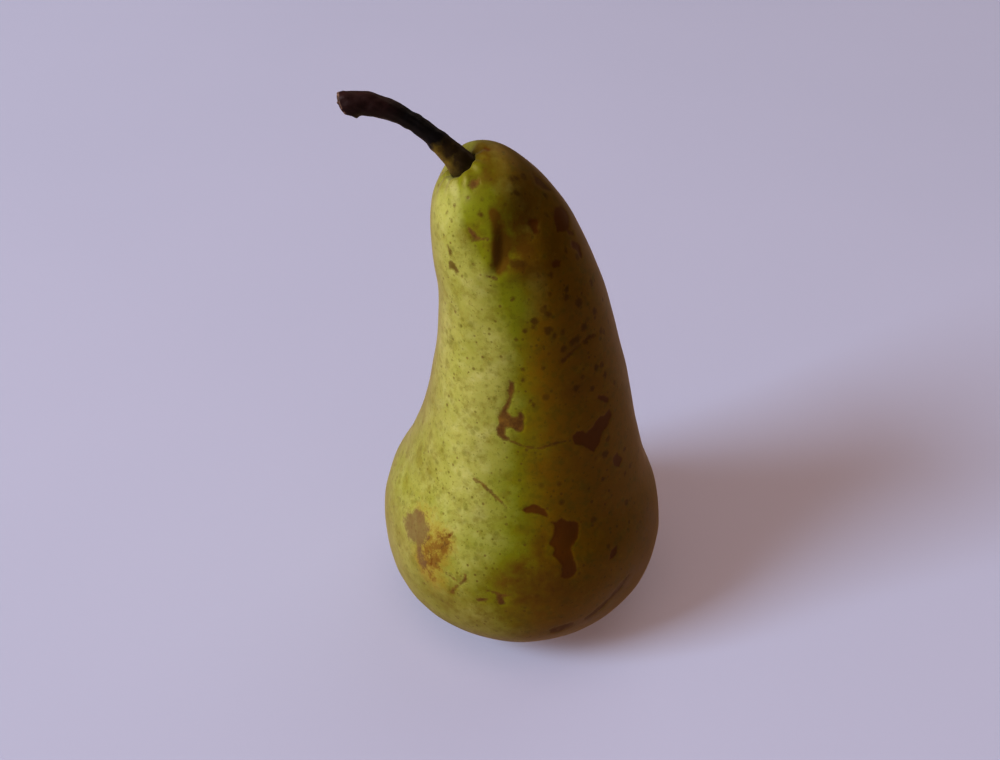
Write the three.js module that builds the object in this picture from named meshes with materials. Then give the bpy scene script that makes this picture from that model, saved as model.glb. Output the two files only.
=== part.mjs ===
// A ripe pear standing on its calyx end: one fruit, its woody stalk, and the dried flower parts in the
// basin underneath. Millimetres, +Z up. The origin is on the resting surface, at the middle of the pear's
// bounding box, with the neck and stalk leaning towards -X and the front of the pear facing -Y.
import * as THREE from "three";

// Fruit
const FRUIT_HEIGHT = 121.5; // resting face to the stalk socket's rim, measured up the fruit's own axis
const BELLY_RADIUS = 34;
const NECK_RADIUS = 17; // four fifths of the way up
const REST_INNER = 10.5; // the flat ring that the pear stands on
const REST_OUTER = 13;
const OVALNESS = 0.012; // how far the sections are from round, as a share of their radius

// The fruit's own axis: it sways a little to +X above the resting face, then bends over to the stalk
const SWAY = 2;
const SWAY_START = 12; // the height where the sway begins
const SWAY_END = 68; // and where it is complete
const BEND_START = 22.5; // height where the bend begins
const LEAN_LEFT = 15.7; // how far the bend carries the top of the axis towards -X
const LEAN_FRONT = 0.8; // and towards -Y
const BEND_POWER = 4.8; // higher keeps the bend nearer the top

// Calyx basin, under the fruit
const BASIN_DEPTH = 6;
const CALYX_TUBE_RADIUS = 2.4;
const CALYX_TUBE_DEPTH = 1.8;

// Stalk socket, and the fleshy shoulder that rises behind it
const SOCKET_DEPTH = 2.6;
const SHOULDER_HEIGHT = 3.3;
const SHOULDER_RADIUS = 9.5; // distance of the shoulder's top from the socket's centre
const SHOULDER_TURN = THREE.MathUtils.degToRad(57); // its direction, turned from +X towards +Y

// Stalk
const STALK_LENGTH = 32.3;
const STALK_FOOT_RADIUS = 2.9;
const STALK_WAIST_RADIUS = 1.8;
const STALK_TIP_RADIUS = 2.5;
const STALK_END_TILT = THREE.MathUtils.degToRad(98.5); // from upright, towards -X
const STALK_END_TURN = THREE.MathUtils.degToRad(3); // and towards -Y

// Dried sepals and stamens
const SEPAL_COUNT = 5;
const SEPAL_RIM_CLEARANCE = 4; // from a sepal's tip to the resting ring
const SEPAL_WIDTH = 3.2;
const SEPAL_THICKNESS = 0.7;
const STAMEN_TUFT_RADIUS = 1.5;
const STAMEN_TUFT_HEIGHT = 3.6;

const GAP = 0.3; // clearance between pieces that touch on the real fruit

// Fineness of the faceted surfaces
const FRUIT_SIDES = 48;
const BODY_RINGS = 44;
const BASIN_RINGS = 7;
const STALK_SIDES = 16;
const STALK_RINGS = 26;
const STALK_STEPS = 12;
const SMALL_SIDES = 12;

// The outer outline from the resting ring to the crown: [share of BELLY_RADIUS, share of FRUIT_HEIGHT]
// for the body, and [share of NECK_RADIUS, share of FRUIT_HEIGHT] above it.
const BODY_OUTLINE = [
  [0.74, 0.046],
  [0.938, 0.107],
  [1.0, 0.197],
  [0.96, 0.285],
  [0.833, 0.373],
  [0.729, 0.471],
];
const NECK_OUTLINE = [
  [1.306, 0.579],
  [1.152, 0.687],
  [1.011, 0.794],
  [0.885, 0.882],
  [0.66, 0.953],
  [0.38, 0.99],
];

const SOCKET_RADIUS = STALK_FOOT_RADIUS + GAP;

const { clamp, lerp, smoothstep } = THREE.MathUtils;

// The point at a height on the fruit's axis.
function axisPoint(height) {
  const rise = Math.max(0, (height - BEND_START) / (FRUIT_HEIGHT - BEND_START));
  const bend = rise ** BEND_POWER;
  const sway = SWAY * smoothstep(height, SWAY_START, SWAY_END);
  return new THREE.Vector3(sway - LEAN_LEFT * bend, -LEAN_FRONT * bend, height);
}

// That point with the directions along the axis, towards the back (facing), and across.
function axisFrame(height) {
  const step = 0.01;
  const along = axisPoint(height + step).sub(axisPoint(height - step)).normalize();
  const facing = new THREE.Vector3(0, 1, 0).projectOnPlane(along).normalize();
  const across = new THREE.Vector3().crossVectors(facing, along);
  return { point: axisPoint(height), along, facing, across };
}

// Depth of the calyx basin's roof above the resting face, at a distance from the fruit's axis.
function basinRoof(radius) {
  return BASIN_DEPTH * 0.5 * (1 + Math.cos((Math.PI * Math.min(radius, REST_INNER)) / REST_INNER));
}

// How much the section is wider or narrower than round, by its direction and height.
function roundness(turn, height) {
  const ripple = Math.cos(2 * turn + 0.9) + 0.6 * Math.cos(3 * turn - 1.2 + height / 45);
  return 1 + OVALNESS * ripple * clamp(height / 12, 0, 1);
}

// The shoulder lifts the crown on the side away from the stalk's lean, and leaves the socket as it is.
function shoulderLift(radius, turn, height) {
  const side = (0.5 + 0.5 * Math.cos(turn - SHOULDER_TURN)) ** 2;
  const ring = Math.exp(-(((radius - SHOULDER_RADIUS) / (0.5 * SHOULDER_RADIUS)) ** 2));
  const clear = smoothstep(radius, SOCKET_RADIUS + 0.2, 0.8 * SHOULDER_RADIUS);
  return SHOULDER_HEIGHT * side * ring * clear * clamp((height / FRUIT_HEIGHT - 0.8) / 0.12, 0, 1);
}

// Half of the fruit's section, from the calyx tube's floor, round the outside, to the socket's floor.
function fruitOutline() {
  const points = [
    new THREE.Vector2(0, BASIN_DEPTH + CALYX_TUBE_DEPTH),
    new THREE.Vector2(0.7 * CALYX_TUBE_RADIUS, BASIN_DEPTH + 0.9 * CALYX_TUBE_DEPTH),
  ];
  for (let i = 0; i <= BASIN_RINGS; i++) {
    const radius = lerp(CALYX_TUBE_RADIUS, REST_INNER, i / BASIN_RINGS);
    points.push(new THREE.Vector2(radius, basinRoof(radius)));
  }
  const outside = new THREE.SplineCurve([
    new THREE.Vector2(REST_OUTER, 0),
    ...BODY_OUTLINE.map(([r, h]) => new THREE.Vector2(r * BELLY_RADIUS, h * FRUIT_HEIGHT)),
    ...NECK_OUTLINE.map(([r, h]) => new THREE.Vector2(r * NECK_RADIUS, h * FRUIT_HEIGHT)),
    new THREE.Vector2(SOCKET_RADIUS + 0.8, FRUIT_HEIGHT),
  ]);
  points.push(...outside.getSpacedPoints(BODY_RINGS));
  points.push(
    new THREE.Vector2(SOCKET_RADIUS + 0.15, FRUIT_HEIGHT - 0.25 * SOCKET_DEPTH),
    new THREE.Vector2(SOCKET_RADIUS, FRUIT_HEIGHT - 0.75 * SOCKET_DEPTH),
    new THREE.Vector2(0.75 * SOCKET_RADIUS, FRUIT_HEIGHT - SOCKET_DEPTH),
    new THREE.Vector2(0, FRUIT_HEIGHT - SOCKET_DEPTH),
  );
  return points;
}

// A lathed form stands along +Y; moves every vertex by place(radius, turn, height).
function reshapeLathe(geometry, place) {
  const position = geometry.getAttribute("position");
  for (let i = 0; i < position.count; i++) {
    const [x, height, z] = [position.getX(i), position.getY(i), position.getZ(i)];
    const moved = place(Math.hypot(x, z), Math.atan2(x, z), height);
    position.setXYZ(i, moved.x, moved.y, moved.z);
  }
  geometry.computeVertexNormals();
  return geometry;
}

// The fruit: the outline turned round the axis, made a little oval, and bent over with the axis.
function fruit() {
  const lathe = new THREE.LatheGeometry(fruitOutline(), FRUIT_SIDES);
  return reshapeLathe(lathe, (radius, turn, height) => {
    const { point, along, facing, across } = axisFrame(height);
    const r = radius * roundness(turn, height);
    return point
      .addScaledVector(across, r * Math.cos(turn))
      .addScaledVector(facing, r * Math.sin(turn))
      .addScaledVector(along, shoulderLift(radius, turn, height));
  });
}

// The stalk's centreline: it leaves the socket along the fruit's axis and arches over to its end tilt.
function stalkCurve() {
  const { point, along } = axisFrame(FRUIT_HEIGHT - SOCKET_DEPTH);
  const end = new THREE.Vector3(
    -Math.sin(STALK_END_TILT) * Math.cos(STALK_END_TURN),
    -Math.sin(STALK_END_TILT) * Math.sin(STALK_END_TURN),
    Math.cos(STALK_END_TILT),
  );
  const walker = point.addScaledVector(along, GAP);
  const points = [walker.clone()];
  for (let i = 0; i < STALK_STEPS; i++) {
    const turned = smoothstep((i + 0.5) / STALK_STEPS, 0.22, 1.13);
    const heading = along.clone().lerp(end, turned).normalize();
    walker.addScaledVector(heading, STALK_LENGTH / STALK_STEPS);
    points.push(walker.clone());
  }
  return new THREE.CatmullRomCurve3(points);
}

// The stalk's radius along its length: a flared foot, a narrow waist and a swollen end.
function stalkRadius(share) {
  const foot = Math.exp(-((share / 0.3) ** 2));
  const tip = smoothstep(share, 0.45, 0.95);
  return (
    STALK_WAIST_RADIUS +
    (STALK_FOOT_RADIUS - STALK_WAIST_RADIUS) * foot +
    (STALK_TIP_RADIUS - STALK_WAIST_RADIUS) * tip
  );
}

// The stalk: a lathed rod with rounded ends, laid along its curve.
function stalk() {
  const outline = [new THREE.Vector2(0, 0), new THREE.Vector2(0.7 * stalkRadius(0), 0)];
  for (let i = 1; i < STALK_RINGS; i++) {
    const share = i / STALK_RINGS;
    outline.push(new THREE.Vector2(stalkRadius(share), share));
  }
  outline.push(new THREE.Vector2(0.8 * stalkRadius(1), 1), new THREE.Vector2(0, 1));
  const curve = stalkCurve();
  return reshapeLathe(new THREE.LatheGeometry(outline, STALK_SIDES), (radius, turn, share) => {
    const along = curve.getTangentAt(share);
    const facing = new THREE.Vector3(0, 1, 0).projectOnPlane(along).normalize();
    const across = new THREE.Vector3().crossVectors(facing, along);
    return curve
      .getPointAt(share)
      .addScaledVector(across, radius * Math.cos(turn))
      .addScaledVector(facing, radius * Math.sin(turn));
  });
}

// One sepal: a thin pointed leaf that follows the basin's roof outwards, GAP below it.
function sepal() {
  const root = CALYX_TUBE_RADIUS + GAP;
  const tip = REST_INNER - SEPAL_RIM_CLEARANCE;
  const leaf = new THREE.SphereGeometry(1, SMALL_SIDES, SMALL_SIDES / 2);
  leaf.rotateZ(Math.PI / 2);
  const position = leaf.getAttribute("position");
  for (let i = 0; i < position.count; i++) {
    const share = 0.5 + 0.5 * position.getX(i);
    const taper = 1 - 0.55 * share;
    const radius = lerp(root, tip, share);
    const middle = basinRoof(radius) - GAP - 0.75 * SEPAL_THICKNESS - 0.35 * share;
    position.setXYZ(
      i,
      radius,
      0.5 * SEPAL_WIDTH * taper * position.getY(i),
      middle + 0.5 * SEPAL_THICKNESS * position.getZ(i),
    );
  }
  leaf.computeVertexNormals();
  return leaf;
}

// The dried stamens and styles, as one tuft that hangs from the calyx tube.
function stamenTuft() {
  const top = BASIN_DEPTH + 0.9 * CALYX_TUBE_DEPTH - GAP;
  const outline = [
    new THREE.Vector2(0, top - STAMEN_TUFT_HEIGHT),
    new THREE.Vector2(0.8 * STAMEN_TUFT_RADIUS, top - 0.9 * STAMEN_TUFT_HEIGHT),
    new THREE.Vector2(STAMEN_TUFT_RADIUS, top - 0.5 * STAMEN_TUFT_HEIGHT),
    new THREE.Vector2(0.6 * STAMEN_TUFT_RADIUS, top),
    new THREE.Vector2(0, top),
  ];
  return new THREE.LatheGeometry(outline, SMALL_SIDES).rotateX(Math.PI / 2);
}

const skin = new THREE.MeshStandardMaterial({ color: 0xa3a545, roughness: 0.42, metalness: 0 });
const bark = new THREE.MeshStandardMaterial({ color: 0x3b2820, roughness: 0.8, metalness: 0 });
const dryLeaf = new THREE.MeshStandardMaterial({ color: 0x5a4630, roughness: 0.9, metalness: 0 });

function named(name, geometry, material) {
  const mesh = new THREE.Mesh(geometry, material);
  mesh.name = name;
  return mesh;
}

const pear = new THREE.Group();
pear.add(named("fruit", fruit(), skin), named("stalk", stalk(), bark));
for (let i = 0; i < SEPAL_COUNT; i++) {
  const leaf = named(`sepal_${i + 1}`, sepal(), dryLeaf);
  leaf.rotation.z = ((i + 0.25) / SEPAL_COUNT) * 2 * Math.PI;
  pear.add(leaf);
}
pear.add(named("dried_stamens", stamenTuft(), dryLeaf));

// The origin goes to the middle of the bounding box, on the resting surface.
const bounds = new THREE.Box3().setFromObject(pear);
const middle = bounds.getCenter(new THREE.Vector3());
pear.position.set(-middle.x, -middle.y, -bounds.min.z);

export default pear;
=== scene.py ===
"""A ripe pear on its calyx end: the skin with its scars, bruises and pores, the woody stalk, and the dried
sepals and stamens underneath. Shapes are worked out in millimetres, and each piece stands for its own
node."""

import math

import bpy
import numpy as np
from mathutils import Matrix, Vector

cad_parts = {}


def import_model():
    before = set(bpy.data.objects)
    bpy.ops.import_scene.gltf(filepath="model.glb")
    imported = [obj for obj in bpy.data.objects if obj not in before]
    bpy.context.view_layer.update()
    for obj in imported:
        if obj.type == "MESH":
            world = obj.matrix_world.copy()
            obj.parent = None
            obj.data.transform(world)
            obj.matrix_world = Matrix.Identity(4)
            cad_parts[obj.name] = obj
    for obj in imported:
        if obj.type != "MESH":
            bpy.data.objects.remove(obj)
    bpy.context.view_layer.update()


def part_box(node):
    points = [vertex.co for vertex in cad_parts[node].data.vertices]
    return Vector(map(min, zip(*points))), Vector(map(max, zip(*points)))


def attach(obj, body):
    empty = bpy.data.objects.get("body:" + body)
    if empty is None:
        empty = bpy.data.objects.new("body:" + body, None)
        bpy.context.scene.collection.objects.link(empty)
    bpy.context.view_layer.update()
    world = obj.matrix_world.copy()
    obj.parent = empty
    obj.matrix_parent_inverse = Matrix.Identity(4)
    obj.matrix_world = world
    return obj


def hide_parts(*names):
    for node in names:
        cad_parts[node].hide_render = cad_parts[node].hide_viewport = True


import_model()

MM = 0.001
WAVE_COUNT = 7
WHOLE_TURN = 2 * math.pi

# Fruit, in millimetres, as the frame's solid has it
FRUIT_HEIGHT = 121.5
BELLY_RADIUS = 34.0
NECK_RADIUS = 17.0
REST_INNER = 10.5
REST_OUTER = 13.0
OVALNESS = 0.012
SWAY, SWAY_START, SWAY_END = 2.0, 12.0, 68.0
BEND_START, BEND_POWER = 22.5, 4.8
LEAN_LEFT, LEAN_FRONT = 15.7, 0.8
BASIN_DEPTH = 6.0
TUBE_RADIUS, TUBE_DEPTH = 2.4, 1.8
SOCKET_DEPTH = 2.6
SHOULDER_HEIGHT, SHOULDER_RADIUS, SHOULDER_TURN = 3.3, 9.5, math.radians(57)

# Stalk, in millimetres
STALK_LENGTH = 32.3
FOOT_RADIUS, WAIST_RADIUS, TIP_RADIUS = 2.9, 1.8, 2.5
STALK_END_TILT, STALK_END_TURN = math.radians(98.5), math.radians(3)
GAP = 0.3
FOOT_SHIFT = 1.1  # how far the stalk's foot and its socket stand across from the fruit's axis

# The fruit's outline, as shares of a radius and of a height or depth
BODY_OUTLINE = [(0.74, 0.046), (0.938, 0.107), (1.0, 0.197), (0.96, 0.285), (0.833, 0.373), (0.729, 0.471)]
NECK_OUTLINE = [(1.306, 0.579), (1.152, 0.687), (1.011, 0.794), (0.885, 0.882), (0.66, 0.953), (0.38, 0.99)]
TUBE_OUTLINE = [(0.25, 1.0), (0.55, 0.95), (0.8, 0.7), (0.93, 0.25)]
CROWN_RADIUS = FOOT_RADIUS + GAP + 0.8
CROWN_TURN_IN = [(3.1, 0.25), (2.3, 1.1), (1.0, 1.7)]  # radius, and depth below the crown, in mm

# Fineness of the surfaces
FRUIT_SIDES = 256
ROOF_RINGS, OUTSIDE_RINGS, CROWN_RINGS = 18, 338, 10
FIRST_OUTSIDE = len(TUBE_OUTLINE) + ROOF_RINGS
CURVE_STEPS = 4000
FRONT = math.radians(-90)  # the turn that faces the front, where the skin's grid is finest
FRONT_FINENESS = 0.45

# Marks on the skin
MARK_EDGE = 3.5  # marks stay this far from the middle of the crown, in mm
MARK_REACH = 3.0  # a mark's depth is kept within this of its edge, in mm
FAR = 99.0


# ------------------------------------------------------------------------------------------ shape helpers
def smoothstep(x, low, high):
    """0 below low, 1 above high, and 3t^2 - 2t^3 between."""
    t = np.clip((x - low) / (high - low), 0.0, 1.0)
    return t * t * (3 - 2 * t)


def bell(x, middle, half_width):
    """exp(-((x - middle) / half_width)^2)."""
    return np.exp(-(((x - middle) / half_width) ** 2))


def unit(vectors):
    """Each vector divided by its length."""
    return vectors / np.linalg.norm(vectors, axis=-1, keepdims=True)


def short_way(turn):
    """A turn in radians brought between minus half a turn and half a turn."""
    return np.mod(turn + math.pi, WHOLE_TURN) - math.pi


def stations(count):
    """Shares from 0 to 1 as a column, one for each ring of a surface."""
    return np.linspace(0, 1, count)[:, None]


def turns(sides):
    """Even turns round a ring as a row, in radians."""
    return np.linspace(0, WHOLE_TURN, sides, endpoint=False)[None, :]


def across_of(along):
    """The directions towards the back and across, square to each direction along a line."""
    facing = unit(np.array([0.0, 1.0, 0.0]) - along * along[..., 1:2])
    return facing, np.cross(facing, along)


def spline(points, shares):
    """Catmull-Rom curve through the points: a cubic on each span, with half the chord of its neighbours as
    slope."""
    points = np.asarray(points, float)
    last = len(points) - 1
    span = np.minimum((shares * last).astype(int), last - 1)
    t = (shares * last - span)[:, None]
    before, here = points[np.maximum(span - 1, 0)], points[span]
    there, after = points[span + 1], points[np.minimum(span + 2, last)]
    slope_in, slope_out = 0.5 * (there - before), 0.5 * (after - here)
    return (
        (2 * here - 2 * there + slope_in + slope_out) * t**3
        + (3 * there - 3 * here - 2 * slope_in - slope_out) * t**2
        + slope_in * t
        + here
    )


def distances(curve):
    """The distance along a curve to each of its points."""
    return np.r_[0, np.cumsum(np.linalg.norm(np.diff(curve, axis=0), axis=1))]


def even(curve, count):
    """The curve resampled to count points at equal distances along it."""
    length = distances(curve)
    stops = np.linspace(0, length[-1], count)
    return np.stack([np.interp(stops, length, column) for column in curve.T], axis=1)


def waves(points, size, seed):
    """A smooth uneven field, about -1 to 1: seven sine waves of different directions and lengths, added up
    and divided by three."""
    rng = np.random.default_rng(seed)
    total = np.zeros(points.shape[:-1])
    for _ in range(WAVE_COUNT):
        direction = unit(rng.normal(size=3)) * rng.uniform(0.7, 1.6) * WHOLE_TURN / size
        total += np.sin(points @ direction + rng.uniform(0, WHOLE_TURN))
    return total / 3.0


def grid_faces(rings, sides):
    """Quads between neighbouring rings, and a fan of triangles at each end. The two points that close the
    ends come after the grid's points."""
    ring, side = np.meshgrid(np.arange(rings - 1), np.arange(sides), indexing="ij")
    corner = ring * sides + side
    beside = ring * sides + (side + 1) % sides
    faces = np.stack([corner, beside, beside + sides, corner + sides], axis=-1).reshape(-1, 4).tolist()
    around = np.arange(sides)
    following = (around + 1) % sides
    start, end, last = rings * sides, rings * sides + 1, (rings - 1) * sides
    faces += np.stack([np.full(sides, start), following, around], axis=-1).tolist()
    faces += np.stack([np.full(sides, end), last + around, last + following], axis=-1).tolist()
    return faces


def with_ends(rings):
    """The points of some rings in one list, followed by the middles of the first and the last ring."""
    return np.vstack([rings.reshape(-1, 3), rings[0].mean(0), rings[-1].mean(0)])


def piece(name, points, faces, node, material, fields):
    """A smooth mesh from points in millimetres, with a float attribute for each field. It rides on the pear
    and stands for its node."""
    mesh = bpy.data.meshes.new(name)
    mesh.from_pydata((np.asarray(points) * MM).tolist(), [], faces)
    mesh.polygons.foreach_set("use_smooth", np.ones(len(mesh.polygons), bool))
    for field_name, values in fields.items():
        layer = mesh.attributes.new(field_name, "FLOAT", "POINT")
        layer.data.foreach_set("value", np.asarray(values, np.float32).ravel())
    mesh.materials.append(material)
    mesh.validate()
    thing = bpy.data.objects.new(name, mesh)
    bpy.context.scene.collection.objects.link(thing)
    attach(thing, "root")
    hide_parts(node)


# --------------------------------------------------------------------------------------- the fruit's form
def axis_point(height):
    """The fruit's axis: it sways to +X above the base, and bends to -X and a little to -Y with a power of
    the height."""
    rise = np.maximum(0.0, (height - BEND_START) / (FRUIT_HEIGHT - BEND_START)) ** BEND_POWER
    sway = SWAY * smoothstep(height, SWAY_START, SWAY_END)
    return np.stack([sway - LEAN_LEFT * rise, -LEAN_FRONT * rise, height + 0 * rise], axis=-1)


def axis_frame(height):
    """The axis point, with the directions along the axis, towards the back, and across."""
    step = 0.01
    along = unit(axis_point(height + step) - axis_point(height - step))
    return axis_point(height), along, *across_of(along)


def basin_roof(radius):
    """Height of the calyx basin's roof: half a cosine wave from BASIN_DEPTH at the middle to 0 at the
    resting ring."""
    return BASIN_DEPTH * 0.5 * (1 + np.cos(math.pi * np.minimum(radius, REST_INNER) / REST_INNER))


def fruit_outline():
    """Radius and height of each ring: the calyx tube, the basin, the outside, and the crown turning in to
    the stalk."""
    tube = [(r * TUBE_RADIUS, BASIN_DEPTH + d * TUBE_DEPTH) for r, d in TUBE_OUTLINE]
    roof = np.linspace(TUBE_RADIUS, REST_INNER, ROOF_RINGS)
    knots = [(REST_OUTER, 0.0)]
    knots += [(r * BELLY_RADIUS, h * FRUIT_HEIGHT) for r, h in BODY_OUTLINE]
    knots += [(r * NECK_RADIUS, h * FRUIT_HEIGHT) for r, h in NECK_OUTLINE]
    knots += [(CROWN_RADIUS, FRUIT_HEIGHT)]
    outside = even(spline(knots, np.linspace(0, 1, CURVE_STEPS)), OUTSIDE_RINGS)
    turn_in = [outside[-1]] + [(r, FRUIT_HEIGHT - d) for r, d in CROWN_TURN_IN]
    crown = spline(turn_in, np.linspace(0, 1, CROWN_RINGS + 1))[1:]
    return np.vstack([tube, np.stack([roof, basin_roof(roof)], axis=1), outside, crown])


def fruit_sides():
    """Turns round the axis, closest together at the front: front + w - k sin(w) for even steps of w."""
    w = np.linspace(-math.pi, math.pi, FRUIT_SIDES, endpoint=False)
    return FRONT + w - FRONT_FINENESS * np.sin(w)


def fruit_surface(radius, turn, height):
    """The outline turned round the bent axis, a little oval, with the shoulder beside the stalk lifted."""
    ripple = np.cos(2 * turn + 0.9) + 0.6 * np.cos(3 * turn - 1.2 + height / 45)
    reach = radius * (1 + OVALNESS * ripple * np.clip(height / 12, 0, 1))
    side = (0.5 + 0.5 * np.cos(turn - SHOULDER_TURN)) ** 2
    lift = SHOULDER_HEIGHT * side * bell(radius, SHOULDER_RADIUS, 0.5 * SHOULDER_RADIUS)
    lift = lift * smoothstep(radius, FOOT_RADIUS + GAP + 0.2, 0.8 * SHOULDER_RADIUS)
    lift = lift * np.clip((height / FRUIT_HEIGHT - 0.8) / 0.12, 0, 1)
    point, along, facing, across = axis_frame(height)
    return (
        point
        + across * (reach * np.cos(turn))[..., None]
        + facing * (reach * np.sin(turn))[..., None]
        + along * lift[..., None]
    )


class Skin:
    """The skin's grid, with what is needed to place a mark on it by its turn in degrees and its height in
    mm."""

    def __init__(self):
        outline = fruit_outline()
        run = distances(outline)
        shape = (len(outline), FRUIT_SIDES)
        self.turn = np.broadcast_to(fruit_sides(), shape)
        self.radius = np.broadcast_to(outline[:, :1], shape)
        self.height = np.broadcast_to(outline[:, 1:], shape)
        self.run = np.broadcast_to(run[:, None], shape)
        self.points = fruit_surface(self.radius, self.turn, self.height)
        past_basin = (np.arange(len(outline)) >= FIRST_OUTSIDE)[:, None]
        self.outside = past_basin & (self.radius > MARK_EDGE)
        side = slice(FIRST_OUTSIDE, len(outline) - CROWN_RINGS)
        self.side_run, self.side_radius, self.side_height = run[side], outline[side, 0], outline[side, 1]

    def run_at(self, height):
        """Distance along the outline to a height on the outside."""
        return np.interp(height, self.side_height, self.side_run)

    def radius_at(self, height):
        """The outline's radius at a height on the outside."""
        return np.interp(height, self.side_height, self.side_radius)

    def around(self, degrees):
        """Distance round the skin from a turn, in mm, the short way."""
        return short_way(self.turn - math.radians(degrees)) * self.radius

    def facing(self, degrees, half_width):
        """1 on the side that a turn points to, falling off round the skin as a bell of a half width in
        radians."""
        return bell(short_way(self.turn - math.radians(degrees)), 0, half_width)

    def in_stroke(self, stroke):
        """Depth in mm inside a stroke, negative outside it. A stroke is a row of (turn, height, half
        width), and its edge runs straight from each to the next as the width changes evenly between
        them."""
        row = [(t, self.run_at(h), r) for t, h, r in stroke]
        if len(row) == 1:
            row = row * 2
        best = np.full(self.turn.shape, -FAR)
        for (t0, s0, r0), (t1, s1, r1) in zip(row, row[1:]):
            x, y = self.around(t0), self.run - s0
            across, up = np.radians(t1 - t0) * self.radius, s1 - s0
            share = np.clip((x * across + y * up) / np.maximum(across**2 + up**2, 1e-9), 0, 1)
            distance = np.hypot(x - share * across, y - share * up)
            best = np.maximum(best, r0 + (r1 - r0) * share - distance)
        return best

    def in_patch(self, corners):
        """Depth in mm inside a patch with straight sides between its (turn, height) corners, negative
        outside it: the distance to the nearest side, with the sign of an even or odd count of sides to
        the right."""
        middle = sum(t for t, h in corners) / len(corners)
        flat = [(math.radians(t - middle) * self.radius_at(h), self.run_at(h)) for t, h in corners]
        x, y = self.around(middle), self.run
        inside = np.zeros(self.turn.shape, bool)
        nearest = np.full(self.turn.shape, FAR)
        for (x0, y0), (x1, y1) in zip(flat, flat[1:] + flat[:1]):
            across, up = x1 - x0, y1 - y0
            share = np.clip(((x - x0) * across + (y - y0) * up) / (across**2 + up**2), 0, 1)
            nearest = np.minimum(nearest, np.hypot(x - x0 - share * across, y - y0 - share * up))
            if up:
                inside ^= ((y0 > y) != (y1 > y)) & (x < x0 + (y - y0) * across / up)
        return np.where(inside, nearest, -nearest)

    def marks(self, patches, strokes):
        """Depth inside the nearest of several patches and strokes, kept within MARK_REACH."""
        depths = [self.in_patch(corners) for corners in patches]
        depths += [self.in_stroke(stroke) for stroke in strokes]
        nearest = np.clip(np.max(depths, axis=0), -MARK_REACH, MARK_REACH)
        return np.where(self.outside, nearest, -MARK_REACH)

    def soft(self, patches):
        """0 to 1: the sum of bell-shaped patches of (turn, height, half width, half height, strength)."""
        total = np.zeros(self.turn.shape)
        for turn, height, wide, tall, strength in patches:
            across, up = self.around(turn), self.run - self.run_at(height)
            total += strength * bell(across, 0, wide) * bell(up, 0, tall)
        return np.clip(np.where(self.outside, total, 0), 0, 1)


# ------------------------------------------ marks on the skin, as (turn in degrees, height in mm) corners
SCAR_PATCHES = [
    [  # the hooked scar in the middle of the front
        (-101, 81.5), (-97.5, 81), (-98, 79), (-100, 77), (-101.5, 75), (-103, 73.8), (-100, 72.6),
        (-97, 72.8), (-96.5, 73.8), (-94, 74), (-93, 72.5), (-93.5, 69.5), (-95, 68.8), (-98, 69),
        (-101, 69.8), (-103.8, 69.6), (-104, 68), (-101.5, 67.3), (-101.5, 66.5), (-105, 66.4),
        (-109, 67.5), (-110, 69), (-108.5, 70.4), (-109, 72), (-107, 73.6), (-105.5, 75), (-104, 76),
        (-102, 77.5), (-102.5, 79),
    ],
    [(-79, 120.2), (-69, 120.6), (-56, 120), (-61, 119.4), (-76, 119.5)],
    [(-2, 113.6), (0, 112.2), (-1, 110.2), (-4, 110), (-10, 111.4), (-13, 113)],
    [
        (128, 46), (130, 46.4), (131.5, 45.2), (134, 45.6), (134.5, 43.6), (137, 42.2), (136, 40.6),
        (138, 39.2), (134.5, 38.8), (133, 37.6), (131.5, 39.4), (128.5, 40), (129.5, 42), (127, 43.4),
        (128.6, 44.6),
    ],
    [(22, 63), (24.5, 63.4), (26, 61.8), (29, 61.2), (31, 59.4), (34, 58.8), (37, 56), (33, 56.4),
     (30, 57), (26, 60)],
]
RUB_PATCHES = [
    [
        (-152, 35), (-150, 37.4), (-147, 39.2), (-143, 40), (-139, 39.4), (-136, 38), (-135, 35),
        (-137, 32.4), (-142, 31.8), (-146, 32.4), (-150, 33.3),
    ],
    [(-140, 33), (-136, 32.6), (-134, 30.8), (-132.6, 28.8), (-134.4, 28.2), (-137, 29.6), (-139.5, 31)],
    [(60, 36), (62.5, 38.4), (66, 39), (69, 37.6), (72, 38), (74.5, 35.4), (73, 33), (70.5, 32.4),
     (68, 30), (62, 31.4)],
]
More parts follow.
